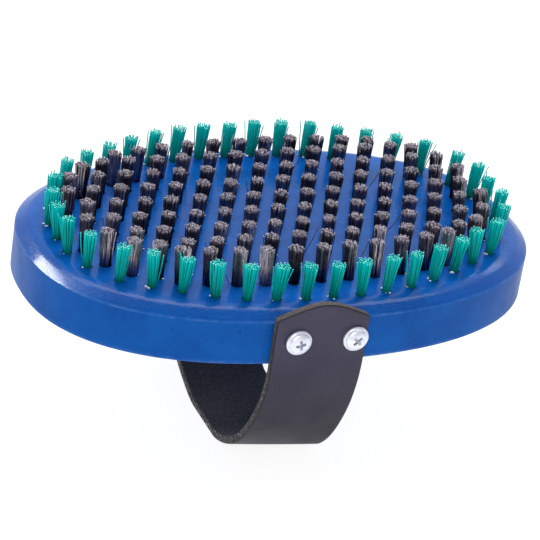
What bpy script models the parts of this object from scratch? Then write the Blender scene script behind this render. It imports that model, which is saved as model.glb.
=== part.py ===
"""A ski wax brush: an oval block that holds a ring of nylon tufts round a field of
wire tufts, with a leather hand strap screwed to its two long sides.

Metres, +Z up, X along the block. The brush lies with its bristles up and stands on
the flat foot of its strap. The origin is on that foot, under the middle of the block.
"""

import math

import bmesh
import bpy
from mathutils import Matrix, Vector

# Clearance between pieces that touch on the real brush
gap = 0.0003
# How far a cutter runs past the face that it cuts
overrun = 0.002

# Block
block_length = 0.183
block_width = 0.1196
block_thickness = 0.0195
# The top edge is planed off at a slant, with both sides of the slant softened: a power
# of 1 is a plain slant, and 2 a quarter round
edge_width = 0.0048
edge_height = 0.0034
edge_power_share = 1.3
bottom_rounding = 0.0007
rounding_steps = 4
block_power_share = 2.34
block_steps = 96

# Strap
strap_width = 0.033
strap_thickness = 0.0029
strap_offset = -0.0078
strap_drop = 0.0491
# The front end stands above the block's top, and the back end stays below it: nothing of
# it shows over the back edge
strap_front_rise = 0.0042
strap_back_fall = 0.0032
# Each end is cut to a blunt point: how far its corners fall back, and how round its tip is
strap_end_fall = 0.0054
strap_tip_radius = 0.0085
strap_columns = 8
strap_steps = 2
# The strap's outer face from the front wall round its foot to the back wall, along its
# two edges: how far out as a share of the way to the wall, and how high as a share of the
# strap's drop. The strap twists a little: its right edge hangs fuller at the front, and
# lies flat further back.
strap_left_shares = (
    (-1.0, 1.0), (-0.996, 0.884), (-0.98, 0.774), (-0.954, 0.668),
    (-0.92, 0.566), (-0.88, 0.464), (-0.831, 0.363), (-0.771, 0.263),
    (-0.699, 0.171), (-0.615, 0.094), (-0.52, 0.035), (-0.43, 0.003),
    (-0.332, 0.0), (-0.234, 0.0), (-0.105, 0.0), (-0.03, 0.014), (0.055, 0.049),
    (0.15, 0.099), (0.251, 0.163), (0.372, 0.25), (0.509, 0.354),
    (0.655, 0.477), (0.792, 0.613), (0.897, 0.747), (0.975, 0.89), (1.0, 1.0),
)
strap_right_shares = (
    (-1.0, 1.0), (-0.992, 0.884), (-0.975, 0.77), (-0.951, 0.656),
    (-0.916, 0.538), (-0.871, 0.415), (-0.817, 0.293), (-0.754, 0.181),
    (-0.679, 0.084), (-0.596, 0.022), (-0.509, 0.0), (-0.374, 0.0),
    (-0.215, 0.0), (-0.043, 0.0), (0.127, 0.0), (0.204, 0.018), (0.281, 0.075),
    (0.366, 0.157), (0.461, 0.257), (0.566, 0.369), (0.677, 0.491),
    (0.785, 0.619), (0.878, 0.743), (0.943, 0.853), (0.984, 0.937), (1.0, 1.0),
)

# Screws
# Between the two screws of an end, and from the strap's middle line to the middle of
# the two, as shares of the strap's width
screw_spacing_share = 0.615
screw_offset_share = 0.0605
# Below the block's top, at the front and at the back, where the strap's end is lower
front_screws_down = 0.0093
back_screws_down = 0.0115
screw_length = 0.018
screw_shank_radius = 0.0019
screw_tip_length = 0.004
head_radius = 0.0045
head_height = 0.0026
head_rim = 0.0008
head_steps = 5
recess_reach = 0.0026
recess_bar = 0.0009
recess_depth = 0.0016
recess_floor_share = 0.45
round_steps = 24

# Slices of backing, set in one pocket in the top of the block
slice_depth = 0.005
strand_root = 0.0015

# Nylon ring, set in from the block's outline by a plain rim
ring_end_rim = 0.0115
ring_side_rim = 0.0088
ring_band_inside = 0.0022
ring_band_outside = 0.0026
ring_arcs = 8
ring_samples = 2
nylon_height = 0.0131
nylon_foot_radius = 0.00115
nylon_tip_radius = 0.0020
nylon_strand_foot = 0.0005
nylon_strand_tip = 0.00045
nylon_strands = 6
# One quarter of the ring's tufts, from the middle of a long side to the block's end,
# as shares of the ring's half length and half width
ring_place_shares = (
    (0.0, 0.995), (0.125, 1.0), (0.25, 0.975), (0.375, 0.942), (0.498, 0.88),
    (0.624, 0.79), (0.7375, 0.698), (0.854, 0.592), (0.95, 0.39), (0.996, 0.19),
    (1.0, 0.0),
)

# Wire field, set in from the ring's slices
field_end_margin = 0.0006
field_side_margin = 0.0061
field_power_share = 2.6
# Tufts in each row, from the middle row out to either long side
row_tufts = (15, 16, 15, 14, 11)
# Between tufts along a row, as a share of the field's half length
tuft_pitch_share = 0.13423
# Between rows, as a share of the field's half width
row_pitch_share = 0.24925
wire_height = 0.0130
wire_foot = 0.0034
wire_tip = 0.0042
wire_strands = 2
wire_split = 0.0003
# Each tuft is turned this much further than its neighbour
wire_turn = math.radians(47)

# Levels and places that follow
block_bottom = strap_drop
block_top = block_bottom + block_thickness
pocket_floor = block_top - slice_depth - gap
slice_bottom = block_top - slice_depth
screw_levels = {-1: block_top - front_screws_down, 1: block_top - back_screws_down}
screw_places = (
    strap_offset + strap_width * (screw_offset_share - screw_spacing_share / 2),
    strap_offset + strap_width * (screw_offset_share + screw_spacing_share / 2),
)
ring_half_length = block_length / 2 - ring_end_rim
ring_half_width = block_width / 2 - ring_side_rim
# From the ring's line to the middle of the nearest wire tuft, without the margin
field_inset = ring_band_inside + gap + wire_foot * math.sqrt(2) / 2
field_half_length = ring_half_length - field_inset - field_end_margin
field_half_width = ring_half_width - field_inset - field_side_margin
tuft_pitch = field_half_length * tuft_pitch_share
row_pitch = field_half_width * row_pitch_share


def power(value, exponent):
    """A signed power, so that an oval's formula holds in all four quarters."""
    return math.copysign(abs(value) ** exponent, value)


def oval(half_length, half_width, exponent, steps):
    """The points of an oval: an exponent of 2 is an ellipse, and more is boxier."""
    turns = [2 * math.pi * step / steps for step in range(steps)]
    return [
        (
            half_length * power(math.cos(turn), 2 / exponent),
            half_width * power(math.sin(turn), 2 / exponent),
        )
        for turn in turns
    ]


def wall_reach(x):
    """How far the block's side wall lies from the X axis at x."""
    share = abs(x) / (block_length / 2)
    return block_width / 2 * (1 - share**block_power_share) ** (1 / block_power_share)


def smooth_curve(points, steps, closed):
    """Points on a smooth curve through the given ones, with the direction at each."""
    count = len(points)
    places = []
    for index in range(count if closed else count - 1):
        near = [index - 1, index, index + 1, index + 2]
        if closed:
            near = [i % count for i in near]
        else:
            near = [min(max(i, 0), count - 1) for i in near]
        a, b, c, d = (Vector(points[i]) for i in near)
        for step in range(steps):
            t = step / steps
            place = b + (c - a) * t / 2 + (2 * a - 5 * b + 4 * c - d) * t**2 / 2
            place += (3 * b - a - 3 * c + d) * t**3 / 2
            along = (c - a) / 2 + (2 * a - 5 * b + 4 * c - d) * t
            along += (3 * b - a - 3 * c + d) * t**2 * 3 / 2
            places.append((place, along.normalized()))
    if not closed:
        places.append((Vector(points[-1]), places[-1][1]))
    return places


def new_object(name, mesh, colour, roughness, metallic):
    """An object for a finished bmesh, with a material of its own."""
    bmesh.ops.recalc_face_normals(mesh, faces=mesh.faces)
    data = bpy.data.meshes.new(name)
    mesh.to_mesh(data)
    mesh.free()
    made = bpy.data.objects.new(name, data)
    bpy.context.scene.collection.objects.link(made)
    material = bpy.data.materials.new(name)
    material.use_nodes = True
    shader = material.node_tree.nodes["Principled BSDF"]
    shader.inputs["Base Color"].default_value = (*colour, 1)
    shader.inputs["Roughness"].default_value = roughness
    shader.inputs["Metallic"].default_value = metallic
    data.materials.append(material)
    return made


def helper(name, mesh):
    """A cutter or a set of strands that a Boolean uses and that isn't a piece itself."""
    made = new_object(name, mesh, (1, 1, 1), 1, 0)
    made.hide_render = True
    made.display_type = "WIRE"
    return made


def boolean(target, tool, operation):
    modifier = target.modifiers.new(tool.name, "BOOLEAN")
    modifier.operation = operation
    modifier.object = tool
    modifier.solver = "EXACT"


def shade_round(made):
    made.data.shade_smooth()
    made.data.set_sharp_from_angle(angle=math.radians(40))


def loft(rings):
    """A closed body through rings that have as many points each."""
    mesh = bmesh.new()
    loops = []
    for ring in rings:
        points = [mesh.verts.new(point) for point in ring]
        loops.append([mesh.edges.new(pair) for pair in zip(points, points[1:] + points[:1])])
    for lower, upper in zip(loops, loops[1:]):
        bmesh.ops.bridge_loops(mesh, edges=lower + upper)
    for end in (loops[0], loops[-1]):
        bmesh.ops.contextual_create(mesh, geom=end)
    return mesh


def prism(outline, bottom, top):
    """An outline in X and Y, made solid from one level to another."""
    return loft([[(x, y, level) for x, y in outline] for level in (bottom, top)])


def make_block():
    """The board: a flat underside, an upright wall and a slanted top edge."""
    profile = []
    for step in range(rounding_steps + 1):
        turn = math.pi / 2 * step / rounding_steps
        inset = bottom_rounding * (1 - math.sin(turn))
        profile.append((inset, block_bottom + bottom_rounding * (1 - math.cos(turn))))
    for step in range(rounding_steps + 1):
        turn = math.pi / 2 * step / rounding_steps
        inset = edge_width * (1 - power(math.cos(turn), 2 / edge_power_share))
        fall = edge_height * (1 - power(math.sin(turn), 2 / edge_power_share))
        profile.append((inset, block_top - fall))
    rings = []
    for inset, level in profile:
        outline = oval(
            block_length / 2 - inset, block_width / 2 - inset, block_power_share, block_steps
        )
        rings.append([(x, y, level) for x, y in outline])
    block = new_object("brush_block", loft(rings), (0.016, 0.105, 0.42), 0.25, 0)
    shade_round(block)
    return block


def ring_places():
    """The middle of each nylon tuft, anticlockwise from the +X end."""
    quarter = [
        (ring_half_length * x, ring_half_width * y) for x, y in reversed(ring_place_shares)
    ]
    upper = quarter + [(-x, y) for x, y in reversed(quarter[:-1])]
    return upper + [(-x, -y) for x, y in upper[1:-1]]


def ring_line(offset, first=0, last=None):
    """Points on the ring's line, moved outwards, between two places counted in tufts."""
    places = smooth_curve([Vector(place) for place in ring_places()], ring_samples, True)
    last = len(places) if last is None else last
    outline = []
    for index in range(first, last):
        place, along = places[index % len(places)]
        outline.append((place.x + offset * along.y, place.y - offset * along.x))
    return outline


def field_places(row):
    """The middle of each wire tuft in a row. Tufts that would stand outside the field's
    oval are drawn in to it, square to its edge."""
    y = row * row_pitch
    count = row_tufts[abs(row)]
    places = []
    for index in range(count):
        place = Vector(((index - (count - 1) / 2) * tuft_pitch, y))
        reach = (abs(place.x) / field_half_length, abs(place.y) / field_half_width)
        excess = sum(share**field_power_share for share in reach) - 1
        if excess > 0:
            slope = Vector(
                (
                    power(reach[0], field_power_share - 1) / field_half_length,
                    power(reach[1], field_power_share - 1) / field_half_width,
                )
            )
            step = slope * excess / (field_power_share * slope.length_squared)
            place -= Vector((math.copysign(step.x, place.x), math.copysign(step.y, place.y)))
        places.append(place)
    return places


def add_strand(mesh, foot, tip, foot_radius, tip_radius, sides, shape):
    """One straight bristle from its root in the backing to its cut tip. The shape turns
    and stretches the upright cone before it is leaned."""
    height = tip.z - foot.z
    lean = Matrix.Identity(4)
    lean[0][2] = (tip.x - foot.x) / height
    lean[1][2] = (tip.y - foot.y) / height
    bmesh.ops.create_cone(
        mesh,
        cap_ends=True,
        segments=sides,
        radius1=foot_radius,
        radius2=tip_radius,
        depth=height,
        matrix=Matrix.Translation((foot + tip) / 2) @ lean @ shape,
    )


def rooted(foot, tip):
    """The foot moved down its own line to the strand's root in the backing."""
    return foot - (tip - foot) * strand_root / (tip.z - foot.z)


def add_wire_tuft(mesh, place, turn):
    """A square tuft of flat four-sided strands side by side, turned about its middle."""
    corner = math.sqrt(2) / 2
    strand_width = (wire_foot - wire_split * (wire_strands - 1)) / wire_strands
    flat = Matrix.Diagonal((strand_width / wire_foot, 1, 1, 1))
    shape = Matrix.Rotation(turn, 4, "Z") @ flat @ Matrix.Rotation(math.pi / 4, 4, "Z")
    centre = Vector((place.x, place.y, block_top))
    across = Vector((math.cos(turn), math.sin(turn), 0))
    for index in range(wire_strands):
        side = index - (wire_strands - 1) / 2
        foot = centre + across * side * (strand_width + wire_split)
        tip = centre + across * side * (wire_tip + wire_split) / wire_strands
        tip += Vector((0, 0, wire_height))
        root = rooted(foot, tip)
        add_strand(mesh, root, tip, wire_foot * corner, wire_tip * corner, 4, shape)


def add_nylon_tuft(mesh, place, along):
    """A round tuft of three-sided strands that spread a little towards their tips."""
    heading = math.atan2(along.y, along.x)
    for index in range(nylon_strands):
        turn = heading + 2 * math.pi * index / nylon_strands
        out = Vector((math.cos(turn), math.sin(turn), 0))
        centre = Vector((place.x, place.y, block_top))
        foot = centre + out * nylon_foot_radius
        tip = centre + out * nylon_tip_radius + Vector((0, 0, nylon_height))
        root = rooted(foot, tip)
        shape = Matrix.Rotation(turn + math.pi, 4, "Z")
        add_strand(mesh, root, tip, nylon_strand_foot, nylon_strand_tip, 3, shape)


def cut_slice(mesh, y, keep_above):
    """Cuts a slice straight at y and closes the cut."""
    side = Vector((0, 1, 0)) if keep_above else Vector((0, -1, 0))
    cut = bmesh.ops.bisect_plane(
        mesh,
        geom=mesh.verts[:] + mesh.edges[:] + mesh.faces[:],
        plane_co=(0, y, 0),
        plane_no=side,
        clear_inner=True,
    )
    rim = [part for part in cut["geom_cut"] if isinstance(part, bmesh.types.BMEdge)]
    bmesh.ops.contextual_create(mesh, geom=rim)


def row_edge(row):
    """Where the slices of a row and of the next row towards +Y meet: midway between
    the tufts of the one and of the other that stand nearest to each other."""
    below = max(place.y for place in field_places(row))
    above = min(place.y for place in field_places(row + 1))
    return (below + above) / 2


def make_wire_row(row, number):
    """One row of the wire field: its slice of backing with its tufts fused to it."""
    mesh = prism(ring_line(-ring_band_inside - gap), slice_bottom, block_top)
    last_row = len(row_tufts) - 1
    if row > -last_row:
        cut_slice(mesh, row_edge(row - 1) + gap / 2, True)
    if row < last_row:
        cut_slice(mesh, row_edge(row) - gap / 2, False)
    made = new_object(f"wire_row_{number}", mesh, (0.055, 0.048, 0.05), 0.4, 0.8)
    tufts = bmesh.new()
    for index, place in enumerate(field_places(row)):
        add_wire_tuft(tufts, place, index * wire_turn)
    boolean(made, helper(f"wire_strands_{number}", tufts), "UNION")
    return len(field_places(row)) * wire_strands


def make_nylon_arc(number):
    """One arc of the nylon ring, cut midway between two tufts at either end."""
    places = ring_places()
    per_arc = len(places) // ring_arcs
    first = (number - 1) * per_arc * ring_samples - ring_samples // 2
    last = first + per_arc * ring_samples + 1
    outer = [Vector(point) for point in ring_line(ring_band_outside, first, last)]
    inner = [Vector(point) for point in ring_line(-ring_band_inside, first, last)]
    for side in (outer, inner):
        side[0] += (side[1] - side[0]).normalized() * gap / 2
        side[-1] += (side[-2] - side[-1]).normalized() * gap / 2
    mesh = prism([tuple(point) for point in outer + inner[::-1]], slice_bottom, block_top)
    made = new_object(f"nylon_arc_{number}", mesh, (0.0, 0.37, 0.25), 0.45, 0)
    tufts = bmesh.new()
    curve = smooth_curve([Vector(place) for place in places], ring_samples, True)
    for index in range((number - 1) * per_arc, number * per_arc):
        place, along = curve[index * ring_samples]
        add_nylon_tuft(tufts, place, along)
    boolean(made, helper(f"nylon_strands_{number}", tufts), "UNION")
    return per_arc * nylon_strands


def end_fall(across):
    """How far an end of the strap falls back from its tip, this far from the middle line:
    two nearly straight cuts with a round tip between them."""
    at_corner = math.hypot(strap_width / 2, strap_tip_radius) - strap_tip_radius
    return strap_end_fall * (math.hypot(across, strap_tip_radius) - strap_tip_radius) / at_corner


def make_strap():
    """The band of leather, made column by column across its width. Each column lies
    against the wall where it is, and its two ends are cut to a blunt point."""
    half_width = strap_width / 2
    columns = []
    for column in range(strap_columns + 1):
        share = column / strap_columns
        across = (2 * share - 1) * half_width
        edges = zip(strap_left_shares, strap_right_shares)
        points = [Vector(left).lerp(Vector(right), share) for left, right in edges]
        route = smooth_curve(points, strap_steps, False)
        x = strap_offset + across
        reach = wall_reach(x) + gap + strap_thickness
        front_end = block_top + strap_front_rise - end_fall(across)
        back_end = block_top - strap_back_fall - end_fall(across)
        outer = [Vector((-reach, front_end))]
        inner = [Vector((-reach + strap_thickness, front_end))]
        for place, along in route:
            point = Vector((place.x * reach, max(place.y, 0) * strap_drop))
            run = Vector((along.x * reach, along.y * strap_drop)).normalized()
            outer.append(point)
            inner.append(point + Vector((-run.y, run.x)) * strap_thickness)
        outer.append(Vector((reach, back_end)))
        inner.append(Vector((reach - strap_thickness, back_end)))
        columns.append([(x, point.x, point.y) for point in outer + inner[::-1]])
    strap = new_object("hand_strap", loft(columns), (0.035, 0.033, 0.042), 0.55, 0)
    shade_round(strap)
    return strap


def spun(profile):
    """A turned body from a profile of radius and height that starts and ends on Z."""
    mesh = bmesh.new()
    points = [mesh.verts.new((radius, 0, height)) for radius, height in profile]
    edges = [mesh.edges.new(pair) for pair in zip(points, points[1:])]
    bmesh.ops.spin(
        mesh,
        geom=points + edges,
        cent=(0, 0, 0),
        axis=(0, 0, 1),
        angle=2 * math.pi,
        steps=round_steps,
        use_merge=True,
    )
    bmesh.ops.remove_doubles(mesh, verts=mesh.verts, dist=gap / 100)
    return mesh


def cross_outline(reach, half_bar):
    """The outline of a cross with square-ended bars."""
    corners = [(reach, -half_bar), (reach, half_bar), (half_bar, half_bar)]
    turned = []
    for quarter in range(4):
        turn = Matrix.Rotation(quarter * math.pi / 2, 2)
        turned += [turn @ Vector(corner) for corner in corners]
    return turned


def screw_place(x, side):
    """The seat of a screw's head on the strap, with +Z out of the wall."""
    seat = wall_reach(x) + gap + strap_thickness + gap
    turn = Matrix.Rotation(-side * math.pi / 2, 4, "X")
    return Matrix.Translation((x, side * seat, screw_levels[side])) @ turn


def make_screw(name, x, side):
    """A pan-head wood screw, with a cross recess in its head."""
    profile = [(0, -screw_length), (screw_shank_radius, screw_tip_length - screw_length)]
    profile += [(screw_shank_radius, 0), (head_radius, 0), (head_radius, head_rim)]
    for step in range(1, head_steps + 1):
        turn = math.pi / 2 * step / head_steps
        height = head_rim + (head_height - head_rim) * math.sin(turn)
        profile.append((head_radius * math.cos(turn), height))
    profile[-1] = (0, head_height)
    screw = new_object(name, spun(profile), (0.72, 0.73, 0.76), 0.2, 1)
    screw.matrix_world = screw_place(x, side)
    shade_round(screw)
    floor = [corner * recess_floor_share for corner in cross_outline(recess_reach, recess_bar / 2)]
    mouth = cross_outline(recess_reach, recess_bar / 2)
    rings = [
        [(corner.x, corner.y, head_height - recess_depth) for corner in floor],
        [(corner.x, corner.y, head_height) for corner in mouth],
        [(corner.x, corner.y, head_height + overrun) for corner in mouth],
    ]
    recess = helper(f"{name}_recess", loft(rings))
    recess.matrix_world = screw_place(x, side)
    boolean(screw, recess, "DIFFERENCE")


def make_screw_hole(name, x, side):
    """The cutter for a screw's hole through the strap and its pilot hole in the block."""
    depth = screw_length + gap + overrun
    mesh = bmesh.new()
    bmesh.ops.create_cone(
        mesh,
        cap_ends=True,
        segments=round_steps,
        radius1=screw_shank_radius + gap,
        radius2=screw_shank_radius + gap,
        depth=depth,
        matrix=Matrix.Translation((0, 0, overrun - depth / 2)),
    )
    hole = helper(f"{name}_hole", mesh)
    hole.matrix_world = screw_place(x, side)
    return hole


def main():
    for old in list(bpy.data.objects):
        bpy.data.objects.remove(old)
    block = make_block()
    pocket = prism(
        ring_line(ring_band_outside + gap), pocket_floor, block_top + overrun
    )
    boolean(block, helper("slice_pocket", pocket), "DIFFERENCE")
    strap = make_strap()
    for side, side_name in ((-1, "front"), (1, "back")):
        for x, end_name in zip(screw_places, ("left", "right")):
            name = f"screw_{side_name}_{end_name}"
            make_screw(name, x, side)
            hole = make_screw_hole(name, x, side)
            boolean(block, hole, "DIFFERENCE")
            boolean(strap, hole, "DIFFERENCE")
    strands = 0
    last_row = len(row_tufts) - 1
    for number, row in enumerate(range(last_row, -last_row - 1, -1), start=1):
        strands += make_wire_row(row, number)
    for number in range(1, ring_arcs + 1):
        strands += make_nylon_arc(number)
    print(f"{strands} strands in all")


main()
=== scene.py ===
# %% [markdown]
# # A ski wax brush, dressed for its picture
#
# The measured solids of the brush are already made, and this script gives them their
# looks: the blue lacquered block, some 17,000 bristles, the leather strap and its screws.
# It loads the solids as a frame, builds each visible piece in the same place with
# Blender's own modelling operators, and gives it a material made of nodes.
# The cells are meant to be read and run from top to bottom.

import math
import random

import bmesh
import bpy
from mathutils import Matrix, Vector


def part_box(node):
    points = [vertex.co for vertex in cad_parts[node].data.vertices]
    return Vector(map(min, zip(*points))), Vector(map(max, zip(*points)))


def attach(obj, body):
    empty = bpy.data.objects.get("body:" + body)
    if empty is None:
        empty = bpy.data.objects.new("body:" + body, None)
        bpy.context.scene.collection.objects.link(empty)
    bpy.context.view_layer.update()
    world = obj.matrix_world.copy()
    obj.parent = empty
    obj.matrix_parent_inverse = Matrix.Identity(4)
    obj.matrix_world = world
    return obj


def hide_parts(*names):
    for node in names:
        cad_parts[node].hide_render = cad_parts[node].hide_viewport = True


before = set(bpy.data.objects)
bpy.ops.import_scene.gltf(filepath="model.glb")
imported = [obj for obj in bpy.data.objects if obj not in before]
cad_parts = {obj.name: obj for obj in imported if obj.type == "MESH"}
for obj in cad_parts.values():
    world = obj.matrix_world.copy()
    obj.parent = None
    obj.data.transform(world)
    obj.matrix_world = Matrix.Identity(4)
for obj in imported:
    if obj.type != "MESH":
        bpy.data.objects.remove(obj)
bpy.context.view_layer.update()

# %% [markdown]
# ## Sizes shared by several pieces
#
# Everything is in metres, with +X along the block and +Z out of its bristles. The levels
# come from the frame's own boxes, so that the looks can't drift away from the solids.
# The block seen from above is an oval a little boxier than an ellipse. One power gives
# that: with a power of 2 the formula is an ellipse, and more makes it boxier.

# %% Levels and the oval
gap = 0.0003
block_low, block_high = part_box("brush_block")
block_bottom, block_top = block_low.z, block_high.z
half_length, half_width = block_high.x, block_high.y
tip_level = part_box("nylon_arc_1")[1].z
oval_power = 2.34
print("block from", round(block_bottom, 4), "to", round(block_top, 4))
print("bristle tips at", round(tip_level, 4))

# %% [markdown]
# ## The camera
#
# The picture was taken with a long lens from in front, a little left of the brush and
# above it, with the camera slightly tipped. Matching the tufts' places in the picture
# with their places on the block gave these angles, the distance and the lens.

# %% Place the camera
camera_yaw = math.radians(26.134)
camera_elevation = math.radians(28.449)
camera_roll = math.radians(8.928)
camera_distance = 0.957446
camera_slide = Vector((0.002231, 0.01621))
camera_lens = 184.24
camera_sensor = 36

forward = Vector((
    math.sin(camera_yaw) * math.cos(camera_elevation),
    math.cos(camera_yaw) * math.cos(camera_elevation),
    -math.sin(camera_elevation),
))
level_right = Vector((math.cos(camera_yaw), -math.sin(camera_yaw), 0))
level_up = level_right.cross(forward)
right = level_right * math.cos(camera_roll) + level_up * math.sin(camera_roll)
up = level_up * math.cos(camera_roll) - level_right * math.sin(camera_roll)
camera_place = Vector((0, 0, block_top)) - forward * camera_distance
camera_place -= right * camera_slide.x + up * camera_slide.y

camera_data = bpy.data.cameras.new("camera")
camera_data.sensor_width = camera_sensor
camera_data.lens = camera_lens
camera_data.clip_end = 20
camera = bpy.data.objects.new("camera", camera_data)
turned = Matrix((right, up, -forward)).transposed().to_4x4()
camera.matrix_world = Matrix.Translation(camera_place) @ turned
bpy.context.scene.collection.objects.link(camera)
bpy.context.scene.camera = camera
bpy.context.scene.view_settings.view_transform = "Standard"
print("camera at", camera_place)

# %% [markdown]
# ## From a bmesh to a finished piece
#
# A bmesh is Blender's workbench for faces and edges, and an object is what gets rendered.
# This helper moves a finished bmesh into an object, turns its faces outwards and rounds
# its shading, except at edges sharper than a given angle. Shading each face flat would
# need far more faces to look round.

# %% Make a piece
def make_piece(name, mesh, materials, sharp_angle=40):
    bmesh.ops.recalc_face_normals(mesh, faces=mesh.faces)
    data = bpy.data.meshes.new(name)
    mesh.to_mesh(data)
    mesh.free()
    data.shade_smooth()
    data.set_sharp_from_angle(angle=math.radians(sharp_angle))
    for material in materials:
        data.materials.append(material)
    piece = bpy.data.objects.new(name, data)
    bpy.context.scene.collection.objects.link(piece)
    return piece

# %% [markdown]
# ## Materials made of nodes
#
# A material is a small tree of nodes. One helper adds a node and either sets or links
# each of its inputs. One spreads a number over a row of colours. One builds the usual
# pattern: noise that is stretched along the axes and lies on the piece's own coordinates.
# Two more start a material from its plain values and lead a pattern into its shader.

# %% Nodes in few words
def add_node(tree, kind, inputs=None, **settings):
    made = tree.nodes.new(kind)
    for name, value in settings.items():
        setattr(made, name, value)
    for name, value in (inputs or {}).items():
        if isinstance(value, bpy.types.NodeSocket):
            tree.links.new(value, made.inputs[name])
        else:
            made.inputs[name].default_value = value
    return made


def add_ramp(tree, share, stops):
    """Colours, or greys given as one number, spread over a share from 0 to 1."""
    made = add_node(tree, "ShaderNodeValToRGB", {"Fac": share})
    row = made.color_ramp.elements
    while len(row) < len(stops):
        row.new(0.5)
    for element, (place, colour) in zip(row, stops):
        element.position = place
        element.color = (*colour, 1) if isinstance(colour, tuple) else (colour, colour, colour, 1)
    return made.outputs["Color"]


def add_noise(tree, scale, detail=2, stretch=(1, 1, 1), roughness=0.5):
    """Noise with about scale grains to the metre."""
    place = add_node(tree, "ShaderNodeTexCoord").outputs["Object"]
    spread = add_node(tree, "ShaderNodeMapping", {"Vector": place, "Scale": stretch})
    inputs = {
        "Vector": spread.outputs["Vector"],
        "Scale": scale,
        "Detail": detail,
        "Roughness": roughness,
    }
    return add_node(tree, "ShaderNodeTexNoise", inputs).outputs["Fac"]


# %% Start a material
def start_material(name, **plain):
    """A material with the inputs of its shader that are the same all over."""
    made = bpy.data.materials.new(name)
    made.use_nodes = True
    shader = made.node_tree.nodes["Principled BSDF"]
    for socket, value in plain.items():
        shader.inputs[socket.replace("_", " ")].default_value = value
    return made, made.node_tree, shader


def drive(tree, shader, socket, value):
    tree.links.new(value, shader.inputs[socket])


# %% [markdown]
# ## Floor and light
#
# The picture shows the brush on plain white. A wide white floor that glows a little keeps
# the ground bright even under the block. The sky is white behind the brush and dimmer in
# front: the glossy top of the block mirrors the white, which gives it its pale sheen,
# while its sloping rim mirrors the front and stays deep blue. Three soft boxes are seen
# by gloss only and throw no shadows: one behind on the left draws the bright streak on
# the rim, and two more draw the pale line where the top turns down into the rim. A wide
# lamp behind lights the top between the tufts, and one beside the camera the front.

# %% The floor
floor_half = 3.0
floor_mesh = bmesh.new()
bmesh.ops.create_grid(floor_mesh, x_segments=1, y_segments=1, size=floor_half)
floor_paint, tree, shader = start_material(
    "studio_floor", Roughness=0.9, Emission_Strength=0.87, Emission_Color=(1, 1, 1, 1)
)
floor_tones = add_ramp(tree, add_noise(tree, 3), [(0, 0.22), (1, 0.26)])
drive(tree, shader, "Base Color", floor_tones)
floor = make_piece("studio_floor", floor_mesh, [floor_paint])
print("the floor is", 2 * floor_half, "m wide")

# %% The sky
sky_strength = 1.05
world = bpy.data.worlds.new("studio_sky")
world.use_nodes = True
bpy.context.scene.world = world
tree = world.node_tree
sky_place = add_node(tree, "ShaderNodeTexCoord").outputs["Generated"]
sky_axes = add_node(tree, "ShaderNodeSeparateXYZ", {"Vector": sky_place})
front_to_back = {"Value": sky_axes.outputs["Y"], "From Min": -1.0}
from_front = add_node(tree, "ShaderNodeMapRange", front_to_back)
by_side = add_ramp(tree, from_front.outputs["Result"], [(0.45, 0.35), (0.6, 1.0)])
sky = tree.nodes["Background"]
tree.links.new(by_side, sky.inputs["Color"])
sky.inputs["Strength"].default_value = sky_strength
print("the sky has", len(tree.nodes), "nodes")


# %% The lamps
def add_lamp(name, azimuth, elevation, distance, width, height, power, roll=0):
    """A soft box, aimed at the middle of the brush."""
    lamp_data = bpy.data.lights.new(name, "AREA")
    lamp_data.shape = "RECTANGLE"
    lamp_data.size = width
    lamp_data.size_y = height
    lamp_data.energy = power
    lamp = bpy.data.objects.new(name, lamp_data)
    flat = math.cos(math.radians(elevation))
    toward = Vector((
        flat * math.cos(math.radians(azimuth)),
        flat * math.sin(math.radians(azimuth)),
        math.sin(math.radians(elevation)),
    ))
    aim = toward.to_track_quat("Z", "Y").to_matrix().to_4x4()
    aim = aim @ Matrix.Rotation(math.radians(roll), 4, "Z")
    lamp.matrix_world = Matrix.Translation(toward * distance) @ aim
    bpy.context.scene.collection.objects.link(lamp)
    return lamp


gloss_box = add_lamp("gloss_box", 138, 46, 1.2, 0.66, 0.1, 13, roll=40)
ceiling_box = add_lamp("ceiling_box", 66, 74, 1.2, 1.4, 0.34, 8)
right_box = add_lamp("right_box", 38, 38, 1.2, 0.5, 0.14, 0.9)
for mirrored in (gloss_box, ceiling_box, right_box):
    mirrored.visible_diffuse = False
add_lamp("front_fill", -112, 34, 1.6, 0.5, 0.5, 8)
top_box = add_lamp("top_box", 66, 64, 1.4, 0.9, 0.9, 15)
top_box.visible_glossy = False
print(len(bpy.data.lights), "lamps are in place")

# %% [markdown]
# ## The places of the tufts
#
# The tufts stand in drilled holes. The stiff wire ones form nine straight rows, each row
# half a step out of line with the next, and the rows' end tufts are drawn in to an oval.
# The soft nylon ones form a ring round them. The places follow from a few sizes and the
# shares that were measured on the picture, as they do in the solids.

# %% Places along the ring
ring_end_rim = 0.0115
ring_side_rim = 0.0088
ring_half_length = half_length - ring_end_rim
ring_half_width = half_width - ring_side_rim
ring_place_shares = (
    (0.0, 0.995), (0.125, 1.0), (0.25, 0.975), (0.375, 0.942), (0.498, 0.88),
    (0.624, 0.79), (0.7375, 0.698), (0.854, 0.592), (0.95, 0.39), (0.996, 0.19),
    (1.0, 0.0),
)
quarter = [(ring_half_length * x, ring_half_width * y) for x, y in reversed(ring_place_shares)]
ring_upper = quarter + [(-x, y) for x, y in reversed(quarter[:-1])]
ring_places = [Vector(place) for place in ring_upper + [(-x, -y) for x, y in ring_upper[1:-1]]]
print(len(ring_places), "nylon tufts in the ring")

# %% Places in the wire field
row_tufts = (15, 16, 15, 14, 11)
field_power = 2.6
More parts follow.
